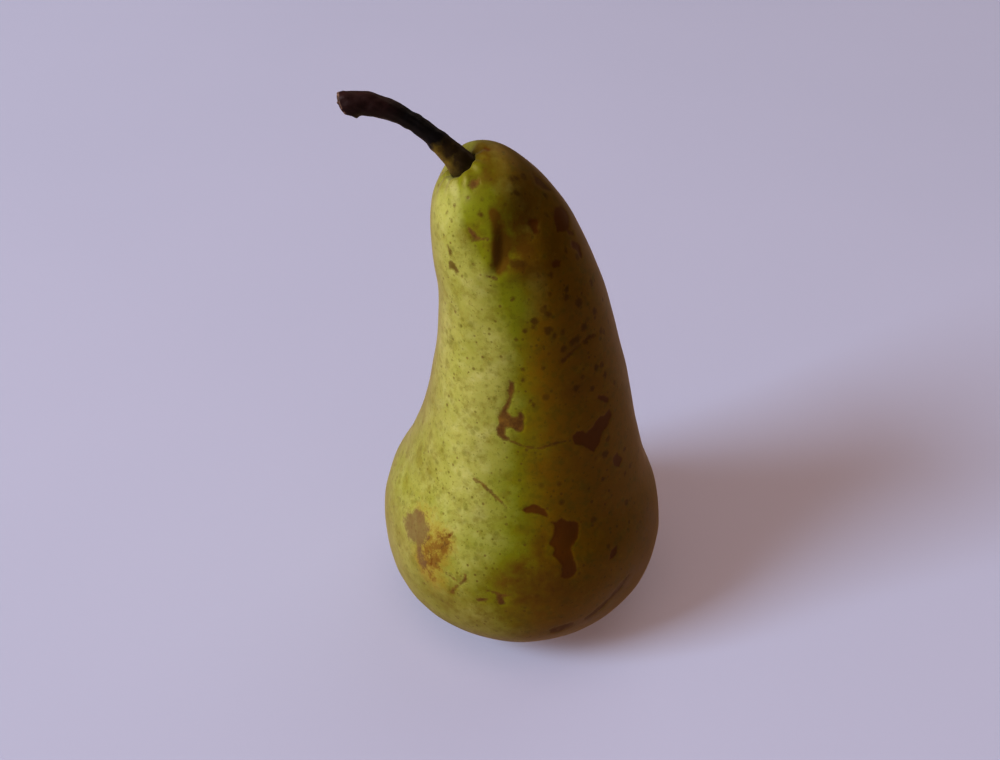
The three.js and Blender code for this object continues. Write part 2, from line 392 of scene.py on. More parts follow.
BRUISE_PATCHES = [
    [  # the slanted one at the foot of the neck
        (-66, 66.5), (-63, 67.2), (-60, 66.8), (-58, 66), (-54, 66.7), (-51, 67.6), (-48, 68.2),
        (-44, 68), (-39.5, 68.4), (-39, 66.8), (-43, 65.2), (-47, 64.5), (-49, 63.2), (-51, 62),
        (-54, 61), (-57, 62), (-61, 63.6), (-65, 64.3),
    ],
    [  # the large one on the belly
        (-79.5, 47), (-76.5, 46.8), (-74, 47.6), (-71, 46.4), (-68, 46.2), (-66, 45.4), (-65.6, 43.6),
        (-67, 42), (-69.5, 41), (-70.5, 40), (-70, 38.5), (-69, 36.5), (-68.6, 34.8), (-70, 33.6),
        (-73, 33.3), (-75.5, 34.4), (-75, 37), (-76.5, 38.5), (-78.5, 39.5), (-78, 41), (-80.5, 42),
        (-79, 43), (-77.5, 44.4), (-77.5, 45.8),
    ],
    [(-93, 49.8), (-91, 50.6), (-88, 51.3), (-85, 50.8), (-82, 50), (-80.5, 48), (-84, 48.7),
     (-87, 49), (-91, 49.1)],
    [(-41.5, 57), (-38, 57.4), (-34.5, 55), (-37.5, 53.8), (-41, 55)],
    [(-51.5, 36.8), (-48, 37), (-49, 35), (-53.5, 34.4)],
    [
        (-16, 108.7), (-10, 108), (-6.5, 106.8), (-9, 105.7), (-15, 105.2), (-22, 105.1), (-29, 105.7),
        (-33, 106.6), (-30, 107.6), (-26, 108.2), (-21, 108.7),
    ],
    [(-50.5, 110.9), (-45, 111), (-38.5, 109.8), (-45, 109.5), (-47, 108.5), (-51.5, 108.9), (-50, 110)],
    [(-52.5, 103.3), (-47, 103.3), (-44, 102.5), (-47.5, 101.8), (-52, 102.4)],
    [
        (82, 54.4), (84, 55.6), (86, 54.6), (89, 54.8), (90, 52.6), (93.5, 51), (92, 49), (93, 47.4),
        (90, 46), (88.5, 47.4), (86, 46.8), (85, 49), (82, 49.6), (83, 51.6), (81, 52.6),
    ],
    [
        (121, 65.6), (124, 67.4), (127, 66.4), (129, 67), (130, 65), (133.5, 63.6), (131, 62),
        (130.6, 60), (127, 61.4), (124.5, 60.6), (124, 62.6), (121.6, 63),
    ],
]
DARK_PATCHES = [
    [(-134, 113.3), (-132, 113), (-129, 111.8), (-131, 110.6), (-133.5, 111.2)],
    [(-136.5, 109.4), (-131.5, 109.8), (-128, 108.6), (-126.5, 107.4), (-130, 106.8), (-133, 108),
     (-137.5, 108)],
]
# and as rows of (turn, height, half width in mm) along a stroke
SCAR_STROKES = [
    [(-102, 66.7, 0.35), (-97, 65.9, 0.3), (-94, 65.3, 0.22), (-85, 64.8, 0.28), (-76, 65.6, 0.3),
     (-71, 65.6, 0.12)],
    [(-119.5, 54.6, 0.36), (-115, 54.2, 0.42), (-110, 52.8, 0.46), (-105, 51.4, 0.36), (-101, 50.0, 0.2)],
    [(-104.5, 29.7, 0.25), (-101, 29.5, 0.45), (-98, 29.2, 0.5), (-95.5, 29.4, 0.2)],
    [(-99.5, 28.8, 0.8), (-98.5, 27.2, 0.95)],
    [(-108, 26.2, 0.5), (-106, 26.7, 0.6), (-104, 27.3, 0.25)],
    [(-114, 32.2, 0.4), (-114, 30.8, 0.5), (-116, 29.1, 0.28), (-118, 27.4, 0.32), (-119, 25.7, 0.6)],
    [(-123, 30.3, 0.2), (-120, 30.1, 0.3), (-118, 29.6, 0.28)],
    [(-102, 115.3, 0.35), (-100, 114.1, 0.7), (-98, 113.3, 0.5), (-94, 112.9, 0.42), (-89, 112.5, 0.25)],
    [(-103, 113.2, 0.22), (-99.5, 113.2, 0.4)],
    [(-101, 105.9, 0.4), (-97, 105.3, 0.42), (-94.5, 105, 0.25)],
    [(-66, 84.0, 0.45), (-61, 84.9, 0.3), (-52, 86.0, 0.25), (-44, 86.2, 0.45), (-38, 85.6, 0.4)],
    [(-63, 18.0, 0.6), (-57, 20.2, 1.0), (-52, 22.0, 0.5), (-47, 24.0, 1.1), (-42, 25.8, 0.4)],
    [(-76, 16.6, 1.5), (-70, 17.4, 1.1)],
    [(95, 78, 0.4), (97, 71, 0.7), (104, 68, 0.3)],
    [(146, 92, 0.5), (150, 87, 0.7)],
    [(112, 24, 0.4), (124, 28, 0.6), (130, 27, 0.3)],
]
BRUISE_STROKES = [
    [(-126.6, 38.5, 0.22), (-125.4, 38.9, 0.30), (-124.4, 39.9, 0.34), (-124.0, 40.6, 0.15)],
    [(-125.4, 38.9, 0.26), (-125.3, 38.0, 0.16)],
    [(-130.6, 32.1, 0.2), (-130, 31.0, 0.3), (-130.4, 30.0, 0.15)],
    [(-26, 102.7, 0.7), (-22.5, 101.4, 0.8), (-24, 100.2, 0.5)],
    [(-23, 104.7, 0.5), (-20, 103.9, 0.4)],
    [(11, 120.1, 0.5), (5, 119.8, 0.6)],
    [(-46, 72.8, 0.4), (-40, 70.8, 0.55)],
]
SPOTS = [  # single spots: (turn, height, radius)
    (-47, 59, 0.9), (-50, 53.5, 0.5), (-23, 38, 0.4), (-14, 51, 0.5), (-34, 51.2, 0.5), (-15, 111, 0.5),
    (-30, 109.2, 0.4), (-56, 101.6, 0.5), (-65, 102.6, 0.4), (-26, 94.9, 0.6), (-36, 103.2, 0.4),
    (-83, 116.4, 0.5), (-30, 116.3, 0.6), (-26, 116, 0.5), (-39, 115.1, 0.6), (-50, 97.6, 0.5),
    (-52, 96.4, 0.6), (-44, 93.8, 0.9), (-68, 94.9, 0.7), (-78, 94.4, 0.8), (-79.5, 93.2, 0.5),
    (-71, 91.6, 0.9), (-86, 92.8, 0.5), (-93, 91.3, 0.4), (-68, 90.1, 0.55), (-62, 90.2, 0.5),
    (-46, 88.8, 0.8), (-33, 89.9, 0.7), (-19, 89.6, 0.4), (-32, 85.2, 0.6), (-57, 87.2, 0.7),
    (-53, 87.3, 0.7), (-47, 85.7, 0.6), (-64, 86.6, 0.7), (-20, 85, 0.4), (-44, 79.3, 0.6),
    (-92, 84, 0.35), (-92, 81.5, 0.4), (-89, 76.5, 0.4), (-87, 75.5, 0.35), (-79, 83.8, 0.4),
    (-62, 98.4, 0.4), (-88, 100.1, 0.4), (-29, 84.4, 0.5), (-50, 75.3, 0.6), (-112, 119, 0.2),
    (-128, 118.4, 0.2), (-121, 117.2, 0.2), (-78.5, 106.6, 0.7), (-75.5, 106.4, 0.9), (-72.5, 105.8, 0.8),
    (-69.5, 105.9, 0.35), (-110, 108.8, 0.3), (-124, 106.5, 0.3), (-60, 77.2, 0.8), (-38, 76.5, 0.6),
    (-31, 73, 0.5), (-55, 79, 0.4),
]
# soft patches: (turn, height, half width, half height, strength)
# some of these are painted shade: in the hollow on the neck and the stalk's shadow on the crown beside it;
# the rest are stains
STAINS_AND_SHADE = [
    (-85, 42.5, 2.4, 2.4, 0.6), (-82, 34.5, 5.0, 4.2, 0.8), (-90, 32, 6.0, 5.0, 0.5),
    (-124.6, 35.8, 0.9, 1.2, 0.9), (-63, 109, 6.5, 5.0, 0.6), (-74, 106.6, 3.4, 2.2, 0.6),
    (-52, 116, 5.0, 3.5, 0.4), (-98, 24, 10.0, 4.0, 0.3), (-58, 104, 6.0, 3.0, 0.3),
    (-90, 35, 3.5, 3.5, 0.4), (-98, 33, 7.0, 5.0, 0.45), (-35, 119.6, 5.0, 3.0, 0.6),
    (5, 120.6, 4.0, 3.0, 0.4), (-67, 109, 5.0, 4.5, 0.55), (-84, 38, 3.6, 5.5, 0.8),
    (-87, 32, 5.5, 4.5, 0.3), (-80, 27, 8.0, 4.0, 0.2), (-50, 23, 4.0, 2.4, 0.4),
    (-28, 30, 6.0, 9.0, 0.25), (-104, 113.6, 2.4, 1.2, 0.4), (-110, 115, 2.0, 1.0, 0.3),
    (-76, 30, 6.0, 4.0, 0.4), (-66, 26, 9.0, 6.0, 0.12), (-78, 17, 11.0, 4.5, 0.35),
    (-93, 33, 6.0, 4.0, 0.3), (-112, 20, 11.0, 6.0, 0.35), (-95, 115, 2.0, 1.6, 0.3),
    (-128, 24, 9.0, 6.0, 0.35), (-148, 30, 6.0, 8.0, 0.35), (-150, 50, 4.0, 8.0, 0.3),
    (-20, 110, 9.0, 7.0, 0.3), (15, 119.5, 3.5, 3.0, 0.5), (-132, 96, 2.5, 1.8, 0.2),
    (-47, 109, 5.0, 4.0, 0.15), (-60, 77, 4.0, 2.5, 0.45), (-62, 86, 5.0, 3.0, 0.35),
    (-45, 95, 3.0, 4.0, 0.3), (-101, 79, 1.6, 2.2, 0.35), (-66, 111, 4.5, 5.0, 0.35),
    (120, 26, 9.0, 6.0, 0.5), (40, 34, 7.0, 5.0, 0.4), (-170, 70, 6.0, 9.0, 0.25),
    (-168, 30, 8.0, 5.0, 0.3), (175, 60, 7.0, 8.0, 0.3), (85, 90, 6.0, 8.0, 0.3),
]
RUSTS = [
    (-130, 34, 4.6, 5.4, 1.0), (-135, 30, 3.5, 4.0, 0.7), (-126, 38, 2.6, 2.6, 0.7),
    (-141, 40, 5.0, 3.0, 0.5),
    (-127, 26, 4.0, 3.0, 0.5), (66, 20, 7.0, 4.0, 0.6),
]
# low on the front and right: partly dust, partly painted sheen of the pale floor
DUST_AND_SHEEN = [
    (-40, 24, 9.0, 4.0, 0.6), (-58, 17, 9.0, 3.5, 0.5), (-22, 34, 6.0, 5.0, 0.4), (-88, 12, 9.0, 2.5, 0.35),
]
# the hollow on the front of the neck: its dark strip, its size, and the (height, turn) line where it drops
STRIP = [(-71, 115.4, 0.5), (-76, 112.4, 1.2), (-83, 109.6, 1.4), (-89, 107.4, 1.3), (-92, 106.3, 0.6)]
DENT_TOP, DENT_FOOT = 116.0, 105.5
DENT_DEPTH = 0.85
DENT_WALL = [(105.0, -96.0), (106.2, -95.0), (111.6, -81.0), (115.6, -71.0), (117.0, -66.0)]
LIP_HEIGHT, RIDGE_HEIGHT = 0.14, 0.16


def neck_dent(skin):
    """Depth in mm of a hollow on the front of the neck: it drops over 3 mm along a slanting line and rises
    slowly to the right over 22 mm. Above its foot it fades in, fastest beside the line, and there is a
    low lip below."""
    wall_turn = np.interp(skin.height, *zip(*DENT_WALL))
    right_of_wall = (skin.turn - np.radians(wall_turn)) * skin.radius
    run = skin.run - skin.run_at(DENT_FOOT)
    tall = skin.run_at(DENT_TOP) - skin.run_at(DENT_FOOT)
    fade = np.interp(right_of_wall, [0.0, 12.0], [2.6, 6.0])
    upright = smoothstep(run / fade, -0.4, 1.0) * (1 - smoothstep(run, 0.45 * tall, tall))
    wide = smoothstep(right_of_wall, -1.5, 1.5) * (1 - smoothstep(right_of_wall, 4.0, 26.0))
    lip = LIP_HEIGHT * bell(run, -1.2, 1.3) * bell(right_of_wall, 1.5, 3.5)
    ridge = RIDGE_HEIGHT * bell(right_of_wall, -2.2, 1.6) * upright
    on_neck = skin.outside & (skin.height > 100)
    return np.where(on_neck, DENT_DEPTH * wide * upright - lip - ridge, 0)


# painted shade: the brown side lies on the side turned away from the window, partly the skin's own brown and
# partly painted shade
BROWN_TURN = math.radians(-16)  # the middle of the brown side
# painted shade: a patch low on the belly, left of the front, made darker and greener
LEFT_OF_FRONT_SHADE = [(-99, 33, 9.0, 6.5, 1.0)]


def skin_tones(skin, dent):
    """Soft fields, about 0 to 1, that colour the skin over wide areas."""
    neck = smoothstep(skin.height, 84, 104)
    low = skin.height < 20
    pole = (1 - smoothstep(skin.radius, 8, 31)) * low
    under_stalk = skin.facing(-62, 0.55) * smoothstep(skin.height, 106, 113)
    beside_stalk = skin.facing(-20, 1.1) * smoothstep(skin.height, 117, 120)
    # partly painted shade: the side turned away from the window is made browner and darker
    brown_shade_side = smoothstep(np.cos(skin.turn - BROWN_TURN) - 0.28 * neck, -0.05, 0.62)
    blush_and_shade = np.clip(brown_shade_side - 0.65 * under_stalk - 0.6 * beside_stalk, 0, 1)
    # painted shade: the low belly and the band down the front are made darker and greener where the surface
    # turns down and the light falls off; the rest of the green is the skin's own
    low_belly_shade = 0.75 * (1 - smoothstep(skin.height, 16, 42)) + 0.25 * bell(skin.height, 46, 14)
    green = 1.7 * skin.facing(-86, 0.34) * smoothstep(skin.height, 8, 40) + 0.8 * skin.facing(150, 0.6)
    green = green + low_belly_shade * (0.5 - 0.5 * np.sin(skin.turn)) + 0.8 * skin.soft(LEFT_OF_FRONT_SHADE)
    strip = smoothstep(skin.in_stroke(STRIP), -1.0, 0.7)
    # painted shade in the deeper part of the neck's hollow, and painted shadow of the stalk on the crown
    # beside it, go in with the stains
    stain_and_shade = skin.soft(STAINS_AND_SHADE) + 1.5 * strip + 0.25 * smoothstep(dent, 0.3, 0.9) + 0.2 * beside_stalk
    return {
        "stain_and_shade": stain_and_shade,
        "rust": skin.soft(RUSTS),
        "dust_and_sheen": skin.soft(DUST_AND_SHEEN),
        "blush_and_shade": blush_and_shade * (1 - pole) + 0.35 * pole,
        "green": green + 1.4 * under_stalk + beside_stalk,
        "basin": smoothstep(15.0 - skin.radius, 0, 8) * (skin.height < BASIN_DEPTH + TUBE_DEPTH),
        "crown": smoothstep(7.5 - skin.radius, 0, 4.5) * (skin.height > 0.9 * FRUIT_HEIGHT),
    }


SUNK = 0.10  # how deep scars and bruises lie, in mm
CROWN_GATHERS, BASIN_FOLDS = 9, 10


def skin_relief(skin, marks, dent):
    """How far the skin stands out along its normals, in mm: broad and fine unevenness less the dent and the
    sunken marks, with gathers round the stalk and folds in the calyx basin. The resting ring stays flat."""
    on_ring = 1 - smoothstep(np.abs(skin.radius - 0.5 * (REST_INNER + REST_OUTER)), 1.2, 4.0)
    on_ring = np.where(skin.height < 8, on_ring, 0)
    free = np.where(skin.outside, 1 - on_ring, 0) * smoothstep(skin.height, 0.5, 8.0)
    uneven = 0.22 * waves(skin.points, 34, 3) + 0.07 * waves(skin.points, 11, 5)
    sunken = SUNK * smoothstep(marks["bruise"], -0.4, 0.5) + SUNK * smoothstep(marks["scar"], -0.4, 0.1)
    near_stalk = (skin.height > 0.95 * FRUIT_HEIGHT) * bell(skin.radius, 5.0, 2.2)
    gathers = 0.16 * near_stalk * np.cos(CROWN_GATHERS * skin.turn + 0.9 * np.sin(2 * skin.turn))
    in_basin = (skin.height < BASIN_DEPTH + TUBE_DEPTH) & (skin.radius < REST_INNER) & ~skin.outside
    folds = 0.32 * np.cos(BASIN_FOLDS * skin.turn + 0.6 * np.sin(3 * skin.turn)) + 0.12
    folds = bell(skin.radius, 4.6, 2.2) * folds + 0.06 * waves(skin.points, 5, 8)
    return np.where(in_basin, folds, free * (uneven - sunken) - dent + gathers)


def skin_piece(material):
    """The skin: the grid of fruit_surface moved along its normals by skin_relief, with the socket shifted
    to the stalk's foot, and closed poles inside the calyx tube and under the stalk. Returns the fruit's
    place."""
    skin = Skin()
    marks = {
        "scar": skin.marks(SCAR_PATCHES, SCAR_STROKES),
        "rub": skin.marks(RUB_PATCHES, []),
        "bruise": skin.marks(BRUISE_PATCHES, BRUISE_STROKES),
        "spot": skin.marks(DARK_PATCHES, [[spot] for spot in SPOTS]),
    }
    dent = neck_dent(skin)
    step_round = np.roll(skin.points, -1, axis=1) - np.roll(skin.points, 1, axis=1)
    step_up = np.gradient(skin.points, axis=0)
    normal = unit(np.cross(step_round, step_up))
    points = skin.points + normal * skin_relief(skin, marks, dent)[..., None]
    socket = (skin.height > 0.9 * FRUIT_HEIGHT) * (1 - smoothstep(skin.radius, 2.5, 9.0))
    _, _, _, across = axis_frame(np.array([FRUIT_HEIGHT]))
    points = points + FOOT_SHIFT * socket[..., None] * across
    points[..., 2] = np.maximum(points[..., 2], 0.0)
    # the node stands where its box is, which gives the place of the fruit's own axis
    low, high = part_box("fruit")
    plain = skin.points.reshape(-1, 3)
    place = 0.5 * (np.array(low + high) / MM - plain.min(0) - plain.max(0))
    place[2] = 0.0
    fields = {**marks, **skin_tones(skin, dent)}
    fields = {name: np.r_[values.ravel(), values[0, 0], values[-1, 0]] for name, values in fields.items()}
    faces = grid_faces(*skin.turn.shape)
    piece("pear_skin", with_ends(points) + place, faces, "fruit", material, fields)
    return place


# ---------------------------------------------------------------------------------------------- the stalk
STALK_RINGS, END_RINGS, STALK_SIDES = 260, 16, 112


def stalk_line(count):
    """The stalk's centreline: from the fruit's axis its heading turns over, by smoothstep, to the end's."""
    start = np.array([FRUIT_HEIGHT - SOCKET_DEPTH])
    point, along, _, _ = axis_frame(start)
    end = np.array([
        -math.sin(STALK_END_TILT) * math.cos(STALK_END_TURN),
        -math.sin(STALK_END_TILT) * math.sin(STALK_END_TURN),
        math.cos(STALK_END_TILT),
    ])
    share = (np.arange(count - 1) + 0.5) / (count - 1)
    heading = unit(along + (end - along) * smoothstep(share, 0.22, 1.13)[:, None])
    steps = heading * STALK_LENGTH / (count - 1)
    return point + along * GAP + np.vstack([np.zeros(3), np.cumsum(steps, axis=0)])


def stalk_radius(share):
    """A flared foot, a narrow waist and a swollen end."""
    foot = (FOOT_RADIUS - WAIST_RADIUS) * np.exp(-((share / 0.3) ** 2))
    return WAIST_RADIUS + foot + (TIP_RADIUS - WAIST_RADIUS) * smoothstep(share, 0.45, 0.95)


def stalk_swelling(share, turn):
    """The share by which the stalk's radius grows: faint ridges that twist along it, a foot that spreads on
    one side, and a few knobs, the largest low down near the end."""
    twist = turn + 0.5 * share
    broad_ridges = 0.022 * np.cos(4 * twist + 1.3 * np.sin(4 * share))
    fine_ridges = 0.012 * np.cos(9 * twist + 3 * np.sin(7 * share))
    spread = (1 - smoothstep(share, 0.0, 0.42)) ** 1.5
    foot = spread * (0.24 * bell(short_way(turn + 0.35), 0, 1.2) - 0.05)
    knobs = 0.13 * bell(share, 0.94, 0.075) * (0.5 - 0.5 * np.cos(turn)) + 0.05 * bell(share, 0.95, 0.05)
    knobs = knobs + 0.06 * bell(share, 0.74, 0.03) * np.cos(turn - 2.6)
    knobs = knobs + 0.05 * bell(share, 0.5, 0.02) * np.cos(turn) + 0.05 * bell(share, 0.31, 0.025)
    return broad_ridges + fine_ridges + knobs + foot


def broken_end(rim, along):
    """Rings that close in from the stalk's rim on to its middle, rough and a little hollow."""
    inner = np.linspace(0.93, 0.05, END_RINGS)[:, None]
    centre = rim.mean(0)
    face = centre + inner[..., None] * (rim - centre)
    rough = 0.26 * waves(face, 1.7, 21) + 0.13 * waves(face, 0.8, 22) - 0.7 * (1 - inner**2)
    return face + along * rough[..., None]


def stalk_piece(place, material):
    """The stalk: rings along its line, swollen by stalk_swelling and set a little aside, with bark that is
    uneven and an end that is cut slantwise, stands back on its lower side and is broken rough."""
    line = stalk_line(STALK_RINGS)
    along = unit(np.gradient(line, axis=0))
    facing, across = across_of(along)
    share, turn = stations(STALK_RINGS), turns(STALK_SIDES)
    aside = FOOT_SHIFT * (1 - smoothstep(share, 0.05, 0.55)) - 0.5 * bell(share, 0.60, 0.13)
    radius = stalk_radius(share) * (1 + stalk_swelling(share, turn))
    spokes = across[:, None] * np.cos(turn)[..., None] + facing[:, None] * np.sin(turn)[..., None]
    body = (line + aside * across)[:, None] + radius[..., None] * spokes
    body = body + (0.10 * waves(body, 4.5, 12) + 0.05 * waves(body, 1.9, 13))[..., None] * spokes
    chipped = 0.5 * smoothstep(np.sin(2 * turn + 0.7) + 0.5 * np.sin(5 * turn), 0.2, 1.3)
    lower = 0.5 - 0.5 * np.cos(turn)
    back = smoothstep(share, 0.86, 1.0) * 2.5 * lower**2.2 + smoothstep(share, 0.95, 1.0) * chipped
    body = body - along[:, None] * back[..., None]
    points = with_ends(np.vstack([body, broken_end(body[-1], along[-1])])) + place
    upper = np.broadcast_to(0.5 + 0.5 * np.cos(turn), (STALK_RINGS, STALK_SIDES))
    on_end = END_RINGS * STALK_SIDES
    broken = smoothstep(share.ravel(), 0.975, 1.0)
    fields = {
        "along": np.r_[np.repeat(share.ravel(), STALK_SIDES), np.full(on_end, 1.0), 0.0, 1.0],
        "upper": np.r_[upper.ravel(), np.full(on_end, 0.5), 0.5, 0.5],
        "broken": np.r_[np.repeat(broken, STALK_SIDES), np.ones(on_end), 0.0, 1.0],
    }
    faces = grid_faces(STALK_RINGS + END_RINGS, STALK_SIDES)
    piece("stalk_wood", points, faces, "stalk", material, fields)


# ------------------------------------------------------------------------------- dried sepals and stamens
SEPAL_COUNT = 5
SEPAL_WIDTH, SEPAL_THICKNESS = 3.2, 0.45
SEPAL_ROOT, SEPAL_TIP = TUBE_RADIUS + GAP, REST_INNER - 4.0
SEPAL_RINGS, SEPAL_SIDES = 44, 40
STAMEN_THREADS, THREAD_RINGS, THREAD_SIDES = 26, 18, 8
GOLDEN_TURN = 2.4  # radians from one thread to the next, which spreads them evenly
SEPAL_SEED, STAMEN_SEED = 40, 77


def sepal_piece(index, place, material):
    """A sepal: a leaf that tapers to a point, follows the basin's roof, curls at its sides and tip, and has
    a rib."""
    rng = np.random.default_rng(SEPAL_SEED + index)
    share, turn = stations(SEPAL_RINGS), turns(SEPAL_SIDES)
    half_width = 0.5 * SEPAL_WIDTH * (np.sin(math.pi * (0.16 + 0.84 * share) ** 0.8) ** 0.8 + 0.02)
    nicks = 1 + 0.07 * np.sin(23 * share + rng.uniform(0, 6)) * np.abs(np.cos(turn)) ** 4
    out = SEPAL_ROOT + share * (SEPAL_TIP - SEPAL_ROOT) + 0 * turn
    side = half_width * nicks * np.cos(turn)
    curl = 0.5 * (side / (0.5 * SEPAL_WIDTH)) ** 2 * rng.uniform(0.6, 1.2)
    droop = 0.25 * share + 0.5 * smoothstep(share, 0.7, 1.0) * rng.uniform(0.1, 0.8)
    rib = 0.14 * bell(side, 0, 0.22) * (np.sin(turn) < 0)
    up = basin_roof(out) - GAP - 0.6 * SEPAL_THICKNESS - curl - droop
    up = up + 0.5 * SEPAL_THICKNESS * np.sin(turn) * (1.1 - 0.8 * share) - rib
    up = up + 0.08 * np.sin(9 * share + 2 * side + rng.uniform(0, 6))
    angle = (index + 0.25) / SEPAL_COUNT * WHOLE_TURN
    x = out * math.cos(angle) - side * math.sin(angle)
    y = out * math.sin(angle) + side * math.cos(angle)
    points = with_ends(np.stack([x, y, up], axis=-1)) + place
    faces = [face[::-1] for face in grid_faces(SEPAL_RINGS, SEPAL_SIDES)]
    fields = {"along": np.r_[np.repeat(share.ravel(), SEPAL_SIDES), 0.0, 1.0]}
    number = index + 1
    piece(f"sepal_leaf_{number}", points, faces, f"sepal_{number}", material, fields)


def stamen_piece(place, material):
    """The stamens: a bundle of bent threads that hang from the tube, each with a shrivelled anther on its
    end."""
    rng = np.random.default_rng(STAMEN_SEED)
    top = BASIN_DEPTH + 0.9 * TUBE_DEPTH - 0.1
    share, turn = stations(THREAD_RINGS), turns(THREAD_SIDES)
    thickness = 0.09 + 0.05 * (1 - share) + 0.17 * bell(share, 0.93, 0.06)
    flatness = 1 - 0.3 * (share > 0.85)
    ring = [thickness * np.cos(turn), thickness * np.sin(turn) * flatness, 0 * thickness * turn]
    ring = np.stack(ring, axis=-1)
    points, faces = [], []
    thread_faces = grid_faces(THREAD_RINGS, THREAD_SIDES)
    for number in range(STAMEN_THREADS):
        spread = math.sqrt((number + 0.5) / STAMEN_THREADS)
        angle = GOLDEN_TURN * number
        length = rng.uniform(2.3, 3.5)
        foot = 0.95 * spread * np.array([math.cos(angle), math.sin(angle)])
        reach = rng.uniform(0.1, 0.55) * spread
        away = np.array([math.cos(angle + rng.normal(0, 0.7)), math.sin(angle + rng.normal(0, 0.7))])
        middle = np.concatenate([foot + reach * away * share**1.6, top - length * share], axis=1)
        thread = with_ends(middle[:, None] + ring)
        first = number * len(thread)
        faces += [[corner + first for corner in face[::-1]] for face in thread_faces]
        points.append(thread)
    along = np.r_[np.repeat(share.ravel(), THREAD_SIDES), 0.0, 1.0]
    fields = {"along": np.tile(along, STAMEN_THREADS)}
    piece("stamen_threads", np.vstack(points) + place, faces, "dried_stamens", material, fields)


# ------------------------------------------------------------------------------------ shader node helpers
def add(tree, kind, settings=None, **inputs):
    """Adds a node; settings are its own properties, inputs are values or output sockets, with _ for a
    space."""
    made = tree.nodes.new(kind)
    for name, value in (settings or {}).items():
        setattr(made, name, value)
    for name, value in inputs.items():
        feed(tree, made.inputs[name.replace("_", " ")], value)
    return made


def feed(tree, socket, value):
    """Links an output socket to an input, or sets the input's value."""
    if isinstance(value, bpy.types.NodeSocket):
        tree.links.new(value, socket)
    else:
        socket.default_value = value


def maths(tree, operation, first, second=0.0, third=0.0, clamp=False):
    """One Math node's result."""
    made = tree.nodes.new("ShaderNodeMath")
    made.operation, made.use_clamp = operation, clamp
    for socket, value in zip(made.inputs, (first, second, third)):
        feed(tree, socket, value)
    return made.outputs[0]


def times(tree, first, second, clamp=False):
    """The product of two values."""
    return maths(tree, "MULTIPLY", first, second, clamp=clamp)


def scaled(tree, value, factor, offset):
    """A value times a factor, plus an offset."""
    return maths(tree, "MULTIPLY_ADD", value, factor, offset)


def blend(tree, share, first, second):
    """Two colours mixed by a share."""
    made = tree.nodes.new("ShaderNodeMix")
    made.data_type = "RGBA"
    feed(tree, made.inputs[0], share)
    feed(tree, made.inputs[6], first)
    feed(tree, made.inputs[7], second)
    return made.outputs[2]


def cover(tree, colour, mask, over, share):
    """A colour covered by another, up to a share, where the mask is."""
    return blend(tree, times(tree, mask, share), colour, over)


def ramp(tree, value, low, high):
    """0 up to low and 1 from high, straight between."""
    made = add(tree, "ShaderNodeMapRange", None, Value=value, From_Min=low, From_Max=high)
    return made.outputs[0]


def field(tree, name):
    """A mesh attribute's value."""
    return add(tree, "ShaderNodeAttribute", {"attribute_name": name}).outputs["Fac"]


def place_on_object(tree):
    """Object coordinates, in metres."""
    return tree.nodes.new("ShaderNodeTexCoord").outputs["Object"]


def noise(tree, place, scale, detail=3.0, roughness=0.55):
    """Noise about 0.5, with features of 1 / scale metres."""
    settings = {"Vector": place, "Scale": scale, "Detail": detail, "Roughness": roughness}
    return add(tree, "ShaderNodeTexNoise", None, **settings).outputs["Fac"]


def clouds(tree, place, scale, low, high, detail=4.0, roughness=0.6):
    """Soft-edged patches: 0 where the noise is under low, and 1 where it is over high."""
    return ramp(tree, noise(tree, place, scale, detail, roughness), low, high)


def bump(tree, shader, height, strength, distance):
    """Tilts the shader's normals by a height."""
    made = add(tree, "ShaderNodeBump", None, Strength=strength, Distance=distance, Height=height)
    feed(tree, shader.inputs["Normal"], made.outputs["Normal"])


def group(name, inputs, outputs):
    """A new shader node group with those float sockets, a vector for Place, and its inner sockets."""
    tree = bpy.data.node_groups.new(name, "ShaderNodeTree")
    for socket, value in inputs.items():
        kind = "NodeSocketVector" if socket == "Place" else "NodeSocketFloat"
        made = tree.interface.new_socket(socket, in_out="INPUT", socket_type=kind)
        if kind == "NodeSocketFloat":
            made.default_value = value
    for socket in outputs:
        tree.interface.new_socket(socket, in_out="OUTPUT", socket_type="NodeSocketFloat")
    return tree, tree.nodes.new("NodeGroupInput").outputs, tree.nodes.new("NodeGroupOutput").inputs


def use(tree, made, **inputs):
    """Places a node group in a tree."""
    node = tree.nodes.new("ShaderNodeGroup")
    node.node_tree = made
    for name, value in inputs.items():
        feed(tree, node.inputs[name], value)
    return node.outputs


def specks_group():
    """Round specks: a Voronoi cell's middle is a speck whose size, or absence, follows the cell's random
    colour."""
    inputs = {"Place": 0, "Scale": 800.0, "Size": 0.2, "Share": 0.5}
    tree, given, out = group("specks", inputs, ["Mask", "Random"])
    cells = add(tree, "ShaderNodeTexVoronoi", None, Vector=given["Place"], Scale=given["Scale"])
    parts = add(tree, "ShaderNodeSeparateColor", None, Color=cells.outputs["Color"]).outputs
    present = maths(tree, "LESS_THAN", parts[0], given["Share"])
    size = times(tree, given["Size"], scaled(tree, parts[1], 0.75, 0.4))
    depth = maths(tree, "DIVIDE", maths(tree, "SUBTRACT", size, cells.outputs["Distance"]), size)
    mask = times(tree, ramp(tree, depth, 0.0, 0.45), present)
    feed(tree, out["Mask"], mask)
    feed(tree, out["Random"], parts[2])
    return tree


